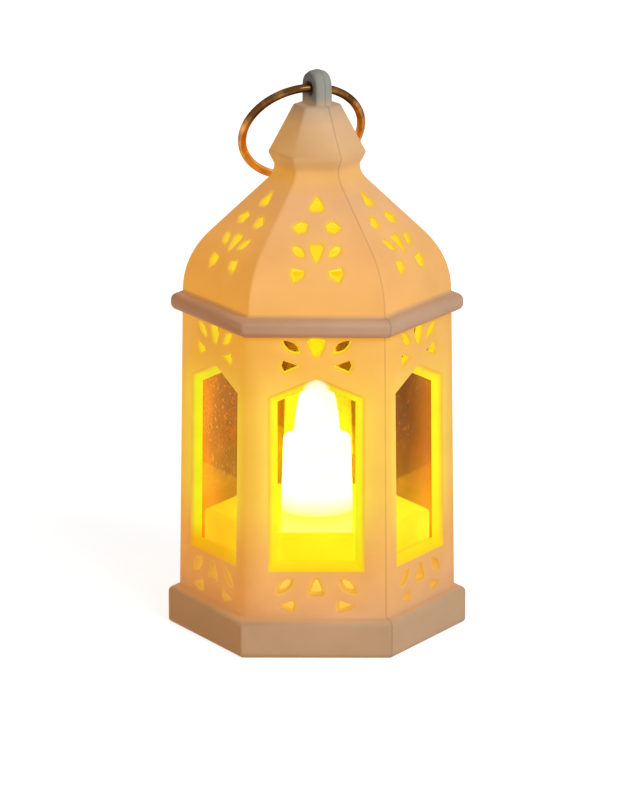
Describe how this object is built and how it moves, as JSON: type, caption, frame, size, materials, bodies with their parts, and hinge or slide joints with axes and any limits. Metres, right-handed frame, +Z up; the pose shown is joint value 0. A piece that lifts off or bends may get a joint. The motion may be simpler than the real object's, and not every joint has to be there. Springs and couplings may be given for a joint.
{
  "type": "fanous lantern",
  "caption": "Small six-sided lantern with an onion roof pierced with petals, pointed windows, a battery candle on a hexagonal pedestal and a wire hanging ring.",
  "frame": {"origin": "centre of the skirt's underside, on the table", "axes": "+Z up the lantern's axis to the lug, -Y out of the front window, +X to the viewer's right through a corner"},
  "size_m": [0.065, 0.0562, 0.1231],
  "materials": {
    "shell_plastic": "satin moulded",
    "pane_film": "clear amber",
    "ring_steel": "plated",
    "works_plastic": "satin moulded",
    "candle_plastic": "milky",
    "lamp_resin": "clear",
    "contact_steel": "tinned",
    "cell_steel": "satin",
    "board_laminate": "matt",
    "chip_ceramic": "matt",
    "screw_steel": "zinc",
    "switch_plastic": "matt"
  },
  "bodies": {
    "lantern": {"body_shell": "shell_plastic", "roof_shell": "shell_plastic", "pedestal_housing": "works_plastic", "bottom_cover": "works_plastic", "led_holder": "works_plastic", "candle_diffuser": "candle_plastic", "led_lamp": "lamp_resin", "led_leads": "contact_steel", "switch_leads": "contact_steel", "positive_contact": "contact_steel", "negative_contact": "contact_steel", "cell_1": "cell_steel", "cell_2": "cell_steel", "cell_3": "cell_steel", "circuit_board": "board_laminate", "chip_resistor": "chip_ceramic", "board_screws": "screw_steel", "base_screws": "screw_steel", "switch_body": "switch_plastic", "window_pane_front": "pane_film", "window_pane_front_right": "pane_film", "window_pane_back_right": "pane_film", "window_pane_back": "pane_film", "window_pane_back_left": "pane_film", "window_pane_front_left": "pane_film"},
    "ring": {"hanging_ring": "ring_steel"},
    "switch": {"switch_slider": "switch_plastic"},
    "door": {"battery_door": "works_plastic", "door_screw": "screw_steel"}
  },
  "joints": [
    {"name": "ring_swing", "type": "hinge", "parent": "lantern", "child": "ring", "pos_m": [0, 0, 0.11915], "axis": [0.866, 0.5, 0], "range_deg": [0, 290]},
    {"name": "switch_slide", "type": "slide", "parent": "lantern", "child": "switch", "axis": [1, 0, 0], "range_m": [-0.002, 0]},
    {"name": "battery_door_off", "type": "slide", "parent": "lantern", "child": "door", "axis": [0, 0, -1], "range_m": [0, 0.015]}
  ]
}
